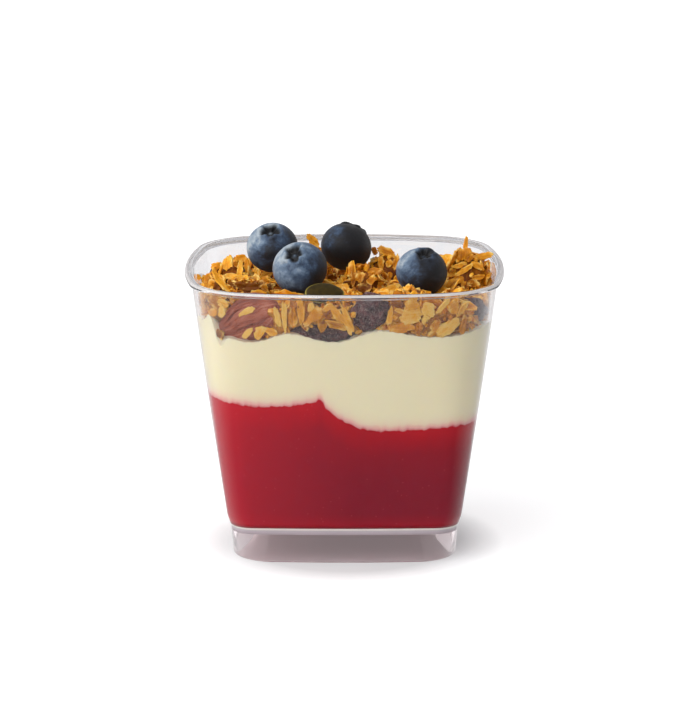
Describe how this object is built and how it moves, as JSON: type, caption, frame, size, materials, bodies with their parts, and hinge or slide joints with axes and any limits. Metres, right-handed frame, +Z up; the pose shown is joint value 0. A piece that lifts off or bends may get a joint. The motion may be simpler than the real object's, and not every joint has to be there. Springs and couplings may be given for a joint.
{
  "type": "fruit yogurt pot",
  "caption": "Clear square pot with rounded corners, holding red fruit compote under plain yogurt, topped with granola, blueberries, almonds, dried fruit and pumpkin seeds.",
  "frame": {"origin": "on the table under the middle of the pot", "axes": "+Z up, -Y towards the front that the picture shows, +X to the right of that view"},
  "size_m": [0.095, 0.095, 0.0951],
  "materials": {
    "clear_plastic": "clear moulded plastic with polished faces",
    "compote": "deep red fruit puree, wet against the wall",
    "yogurt": "smooth cream-coloured yogurt, slightly glossy",
    "granola": "toasted oats with a thin honey glaze",
    "blueberry": "dark blue skin under a pale waxy bloom",
    "almond": "brown wrinkled skin",
    "dried_fruit": "dark wrinkled skin, slightly sticky",
    "pumpkin_seed": "olive green skin with a pale edge"
  },
  "bodies": {
    "root": {"pot": "clear_plastic", "compote": "compote", "yogurt": "yogurt", "granola": "granola", "blueberry_1": "blueberry", "blueberry_2": "blueberry", "blueberry_3": "blueberry", "blueberry_4": "blueberry", "almond_1": "almond", "almond_2": "almond", "dried_fruit_1": "dried_fruit", "dried_fruit_2": "dried_fruit", "dried_fruit_3": "dried_fruit", "dried_fruit_4": "dried_fruit", "dried_fruit_5": "dried_fruit", "pumpkin_seed_1": "pumpkin_seed", "pumpkin_seed_2": "pumpkin_seed"}
  },
  "joints": []
}
